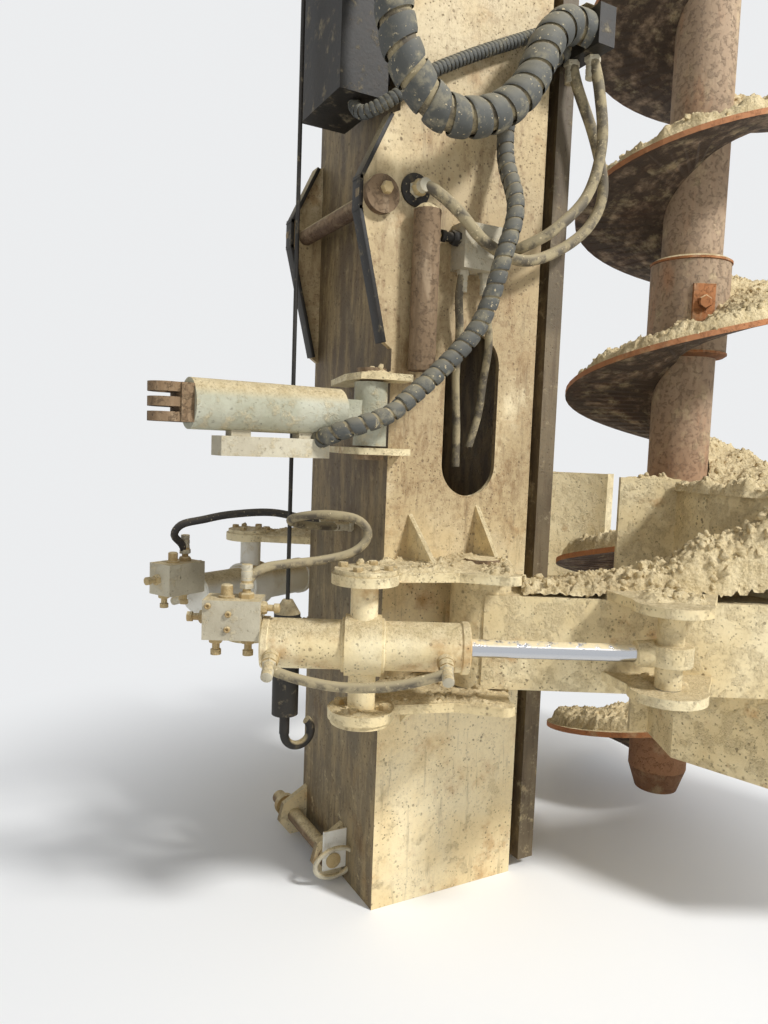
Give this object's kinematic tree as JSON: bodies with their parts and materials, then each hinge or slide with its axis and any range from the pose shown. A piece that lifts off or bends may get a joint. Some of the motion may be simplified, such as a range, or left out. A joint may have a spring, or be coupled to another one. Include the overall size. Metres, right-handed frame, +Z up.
{
  "type": "lower mast section with opening auger guide of a rotary piling rig",
  "caption": "Lower mast section of a rotary piling rig: box mast on its foot, opening auger guide swung by hydraulic cylinders, prop cylinder, hoses, hook and a helical auger.",
  "frame": {"origin": "centre of the mast foot's underside, on the ground", "axes": "+X from the mast towards the auger, +Z up along the mast, -Y is the side that the picture shows"},
  "size_m": [2.7209, 2.4954, 3.2],
  "materials": {
    "mast_paint": "aged cream paint with ochre rust speckle and brown run marks",
    "soil_steel": "cream paint under dried soil",
    "rust_pin": "bare steel, brown rust",
    "auger_steel": "rust, worn bright at the edges, soil on the upper faces",
    "dark_steel": "dark grey paint, dusty",
    "prop_paint": "pale green-grey paint, chalky",
    "rod_chrome": "polished with dust",
    "hose_rubber": "dusty black rubber",
    "hose_wrap": "spiral wrap, dusty grey",
    "valve_steel": "grey valve block, dusty",
    "far_barrel": "off-white paint"
  },
  "bodies": {
    "mast": {"mast_side_near": "mast_paint", "mast_side_far": "mast_paint", "mast_back": "mast_paint", "mast_front": "mast_paint", "rail_near": "mast_paint", "rail_far": "mast_paint", "rail_web": "dark_steel", "foot_plate": "soil_steel", "top_flange": "mast_paint", "bracket_top_near": "soil_steel", "bracket_top_far": "soil_steel", "bracket_low_near": "soil_steel", "bracket_low_far": "soil_steel", "hinge_pin_near": "rust_pin", "hinge_pin_far": "rust_pin", "lift_lugs": "mast_paint", "lift_pin": "rust_pin", "prop_lugs": "soil_steel", "prop_pin": "rust_pin", "corner_tube": "soil_steel", "hose_console": "dark_steel", "hose_clamp": "soil_steel", "junction_block": "valve_steel", "foot_lugs": "mast_paint", "foot_pin": "rust_pin", "rope_bracket": "mast_paint", "hook_rope": "dark_steel", "hook_weight": "dark_steel", "hook": "dark_steel", "hose_bundle": "hose_wrap", "hose_loop_long": "hose_rubber", "hose_loop_short": "hose_rubber", "hose_wrapped": "hose_wrap", "hose_conduit": "hose_rubber", "hose_hole_left": "hose_rubber", "hose_hole_right": "hose_rubber"},
    "guide_near": {"arm_near": "soil_steel", "shell_near": "soil_steel", "skirt_near": "soil_steel"},
    "guide_far": {"arm_far": "soil_steel", "shell_far": "soil_steel", "skirt_far": "soil_steel"},
    "cylinder_near": {"barrel_near": "soil_steel", "valve_near": "valve_steel", "cylinder_hose_near": "hose_rubber"},
    "cylinder_far": {"barrel_far": "far_barrel", "valve_far": "valve_steel", "cylinder_hose_far": "hose_rubber"},
    "piston_near": {"rod_near": "rod_chrome"},
    "piston_far": {"rod_far": "rod_chrome"},
    "prop": {"prop_barrel": "prop_paint", "prop_fork": "rust_pin", "prop_valve": "dark_steel"},
    "auger": {"auger_stem": "auger_steel", "auger_sleeve": "auger_steel", "auger_flight": "auger_steel", "auger_tip": "auger_steel"}
  },
  "joints": [
    {"name": "guide_near_swing", "type": "hinge", "parent": "mast", "child": "guide_near", "pos_m": [0, -0.387, 0.85], "axis": [0, 0, 1], "range_deg": [-30, 28.5]},
    {"name": "cylinder_near_turn", "type": "hinge", "parent": "mast", "child": "cylinder_near", "pos_m": [-0.4, -0.447, 0.85], "axis": [0, 0, 1], "range_deg": [-17.82, 16.94]},
    {"name": "piston_near_stroke", "type": "slide", "parent": "cylinder_near", "child": "piston_near", "axis": [0.8916, -0.4528, 0], "range_m": [-0.1245, 0.1184]},
    {"name": "guide_far_swing", "type": "hinge", "parent": "mast", "child": "guide_far", "pos_m": [0, 0.387, 0.85], "axis": [0, 0, -1], "range_deg": [-30, 28.5]},
    {"name": "cylinder_far_turn", "type": "hinge", "parent": "mast", "child": "cylinder_far", "pos_m": [-0.4, 0.447, 0.85], "axis": [0, 0, -1], "range_deg": [-17.82, 16.94]},
    {"name": "piston_far_stroke", "type": "slide", "parent": "cylinder_far", "child": "piston_far", "axis": [0.8916, 0.4528, 0], "range_m": [-0.1245, 0.1184]},
    {"name": "prop_swing", "type": "hinge", "parent": "mast", "child": "prop", "pos_m": [-0.32, -0.287, 1.437], "axis": [0, 0, 1], "range_deg": [-12, 12]},
    {"name": "auger_spin", "type": "hinge", "parent": "mast", "child": "auger", "pos_m": [1.208, 0, 1.5], "axis": [0, 0, 1], "continuous": true}
  ],
  "couplings": [
    {"joint": "cylinder_near_turn", "follows": "guide_near_swing", "ratio": 0.584},
    {"joint": "piston_near_stroke", "follows": "guide_near_swing", "m_per_rad": 0.234},
    {"joint": "cylinder_far_turn", "follows": "guide_far_swing", "ratio": 0.584},
    {"joint": "piston_far_stroke", "follows": "guide_far_swing", "m_per_rad": 0.234}
  ]
}
